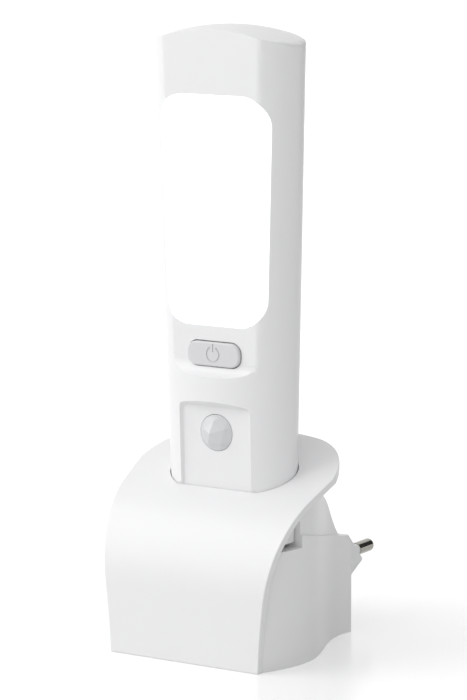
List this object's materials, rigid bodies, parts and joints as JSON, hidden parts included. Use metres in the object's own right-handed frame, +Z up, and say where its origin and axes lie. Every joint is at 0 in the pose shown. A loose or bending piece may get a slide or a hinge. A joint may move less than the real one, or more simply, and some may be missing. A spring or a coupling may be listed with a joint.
{
  "type": "plug in night light",
  "caption": "Rechargeable torch night light with a lit window, power button and motion sensor, standing in an inductive charging dock with a two pin plug.",
  "frame": {"origin": "middle of the dock's flat underside, on the torch's middle plane", "axes": "+Z up along the torch, -Y towards the front with the window, button and sensor, +Y towards the plug, +X to the right seen from the front"},
  "size_m": [0.0662, 0.09, 0.181],
  "materials": {
    "white_shell": "smooth satin gloss moulding",
    "dock_white": "satin moulding",
    "window_opal": "opal diffuser, lit from behind",
    "button_grey": "fine satin",
    "sensor_lens": "milky lens with facets",
    "tray_white": "matt moulding",
    "board_white": "white solder mask",
    "led_yellow": "phosphor cap",
    "board_green": "solder mask",
    "chip_black": "moulded package",
    "cell_wrap": "shrink sleeve",
    "lead_insulation": "extruded insulation",
    "copper": "enamelled winding",
    "ferrite": "sintered, matt",
    "screw_steel": "zinc plated",
    "pin_nickel": "nickel plated",
    "sleeve_white": "moulded insulation"
  },
  "bodies": {
    "dock": {"dock_cover": "white_shell", "cover_screws": "screw_steel", "dock_body": "dock_white", "torch_well": "dock_white", "base_plate": "dock_white", "base_screws": "screw_steel", "sending_coil": "copper", "sending_ferrite": "ferrite", "sending_coil_leads": "lead_insulation", "supply_board": "board_green", "transformer": "ferrite", "smoothing_capacitor": "cell_wrap", "driver_chip": "chip_black", "plug_plate": "dock_white", "plug_pin_left": "pin_nickel", "plug_pin_right": "pin_nickel", "pin_sleeve_left": "sleeve_white", "pin_sleeve_right": "sleeve_white", "pin_contacts": "copper"},
    "torch": {"torch_front_shell": "white_shell", "torch_rear_shell": "white_shell", "torch_shell_screws": "screw_steel", "window_diffuser": "window_opal", "light_tray": "tray_white", "led_board": "board_white", "led_emitters": "led_yellow", "tact_switch": "chip_black", "control_board": "board_green", "control_chips": "chip_black", "motion_sensor_lens": "sensor_lens", "lens_retainer": "tray_white", "motion_sensor": "screw_steel", "battery_cells": "cell_wrap", "battery_cradle": "tray_white", "battery_leads": "lead_insulation", "torch_foot_plate": "white_shell", "receiving_coil": "copper", "receiving_ferrite": "ferrite", "receiving_coil_leads": "lead_insulation"},
    "button": {"power_button": "button_grey", "switch_plunger": "chip_black"}
  },
  "joints": [
    {"name": "torch_lift", "type": "slide", "parent": "dock", "child": "torch", "axis": [0, 0, 1], "range_m": [0, 0.06]},
    {"name": "button_press", "type": "slide", "parent": "torch", "child": "button", "axis": [0, 0.9997, 0.0264], "range_m": [0, 0.0006], "stiffness_N_per_m": 1500}
  ]
}
